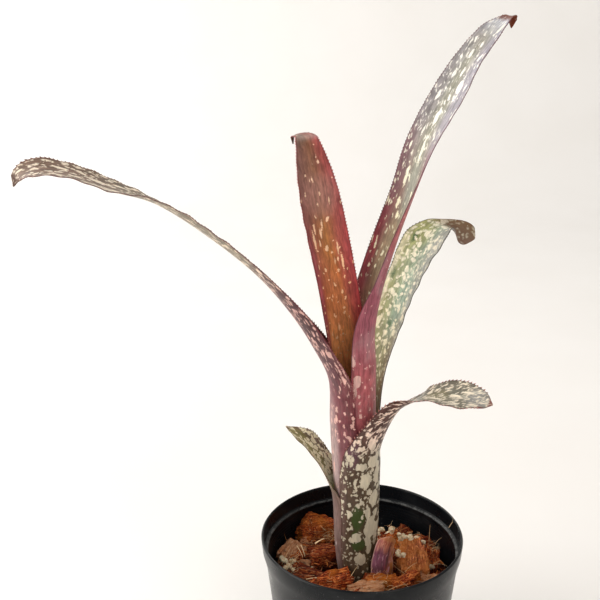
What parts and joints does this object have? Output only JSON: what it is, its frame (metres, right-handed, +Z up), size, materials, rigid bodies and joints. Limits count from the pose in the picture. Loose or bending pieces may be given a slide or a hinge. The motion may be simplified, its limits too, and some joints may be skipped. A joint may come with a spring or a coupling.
{
  "type": "potted bromeliad",
  "caption": "Small tube-forming bromeliad with arching, spined, strap-shaped leaves, rooted in bark mix in a round tapered nursery pot that stands on its flat base.",
  "frame": {"origin": "centre of the pot's flat base", "axes": "+Z up, +X to the right and -Y towards the viewer of the picture, so the long leaf points to -X and the tall leaf leans to +X"},
  "size_m": [0.2326, 0.1104, 0.347],
  "materials": {
    "pot_plastic": "satin black moulded polypropylene",
    "bark_mix": "rough fibrous husk chips with pale mineral grains",
    "stem": "pale plant tissue",
    "leaf_red": "satin leaf, red-brown with peach spots",
    "leaf_tall": "satin leaf, mauve-grey with cream spots",
    "leaf_plum": "satin leaf, plum with pale spots",
    "leaf_green": "satin leaf, sage green with dense cream spots",
    "leaf_banded": "satin leaf, brown-green with large cream patches",
    "leaf_olive": "satin leaf, olive with cream spots",
    "leaf_scale": "satin leaf base, purple"
  },
  "bodies": {
    "root": {"nursery_pot": "pot_plastic", "bark_mix": "bark_mix", "short_stem": "stem", "leaf_red_centre": "leaf_red", "leaf_tall_right": "leaf_tall", "leaf_long_left": "leaf_plum", "leaf_green_right": "leaf_green", "leaf_low_right": "leaf_banded", "leaf_low_left": "leaf_olive", "leaf_basal_scale": "leaf_scale"}
  },
  "joints": []
}
